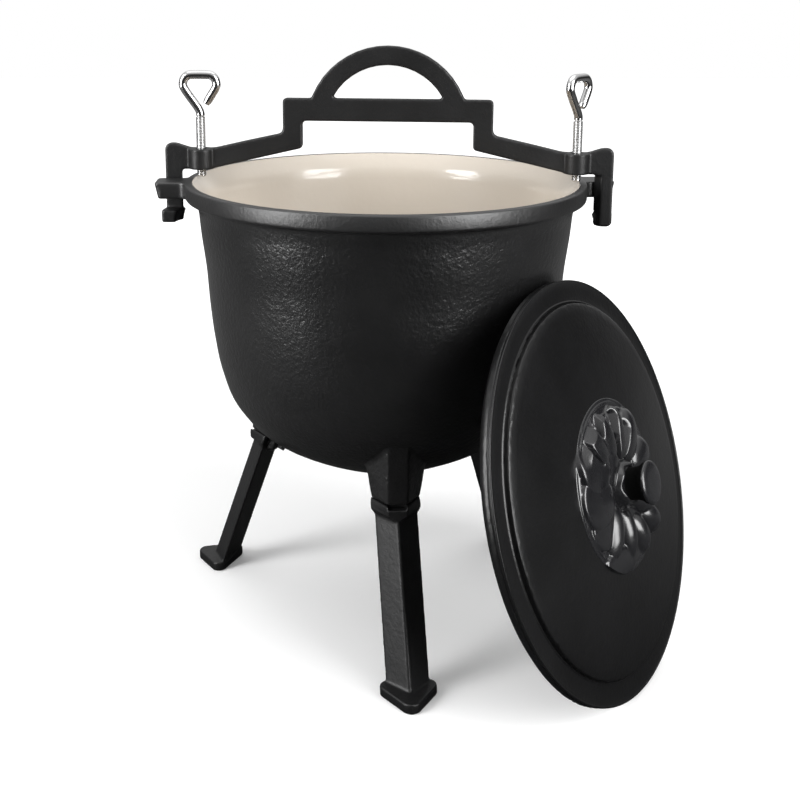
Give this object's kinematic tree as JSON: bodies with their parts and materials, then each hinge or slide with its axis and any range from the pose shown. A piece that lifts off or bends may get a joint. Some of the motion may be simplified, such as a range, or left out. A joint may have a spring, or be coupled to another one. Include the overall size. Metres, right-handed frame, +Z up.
{
  "type": "enamelled cast iron camp pot",
  "caption": "Deep round cast iron camp pot with an enamelled inside, splayed bolted legs, a hooked clamp bar with eye screws across its rim, and a domed lid leaning against it.",
  "frame": {"origin": "on the floor, under the middle of the pot", "axes": "+Z up; X runs along the pot's two lugs; -Y is the side of the front leg, towards the viewer"},
  "size_m": [0.4465, 0.4276, 0.4832],
  "materials": {
    "black_cast": "matt black, slightly pebbled casting skin",
    "black_lid": "semi-matt black, glossier on the rosette",
    "cream_enamel": "glossy cream enamel inside the pot",
    "black_bolt": "black steel",
    "zinc_steel": "bright zinc plating"
  },
  "bodies": {
    "pot": {"pot_body": "black_cast", "leg_front": "black_cast", "leg_left": "black_cast", "leg_right": "black_cast", "leg_bolt_front": "black_bolt", "leg_bolt_left": "black_bolt", "leg_bolt_right": "black_bolt"},
    "clamp_bar": {"clamp_bar": "black_cast"},
    "screw_left": {"eye_screw_shank_left": "zinc_steel"},
    "eye_left": {"eye_screw_eye_left": "zinc_steel"},
    "screw_right": {"eye_screw_shank_right": "zinc_steel"},
    "eye_right": {"eye_screw_eye_right": "zinc_steel"},
    "lid": {"lid": "black_lid"}
  },
  "joints": [
    {"name": "bar_turn", "type": "hinge", "parent": "pot", "child": "clamp_bar", "pos_m": [0, 0, 0.3737], "axis": [0, 0, 1], "range_deg": [-167, 0]},
    {"name": "screw_rise_left", "type": "slide", "parent": "clamp_bar", "child": "screw_left", "axis": [0, 0, 1], "range_m": [0, 0.016]},
    {"name": "eye_turn_left", "type": "hinge", "parent": "screw_left", "child": "eye_left", "pos_m": [-0.15314, 0.01718, 0.424], "axis": [0, 0, 1], "range_deg": [0, 4600]},
    {"name": "screw_rise_right", "type": "slide", "parent": "clamp_bar", "child": "screw_right", "axis": [0, 0, 1], "range_m": [0, 0.016]},
    {"name": "eye_turn_right", "type": "hinge", "parent": "screw_right", "child": "eye_right", "pos_m": [0.15552, -0.01744, 0.424], "axis": [0, 0, 1], "range_deg": [0, 4600]},
    {"name": "lid_away", "type": "slide", "parent": "pot", "child": "lid", "axis": [0.7758, -0.5606, 0.2897], "range_m": [0, 0.35]}
  ],
  "couplings": [
    {"joint": "screw_rise_left", "follows": "eye_turn_left", "m_per_rad": 0.00019894},
    {"joint": "screw_rise_right", "follows": "eye_turn_right", "m_per_rad": 0.00019894}
  ]
}
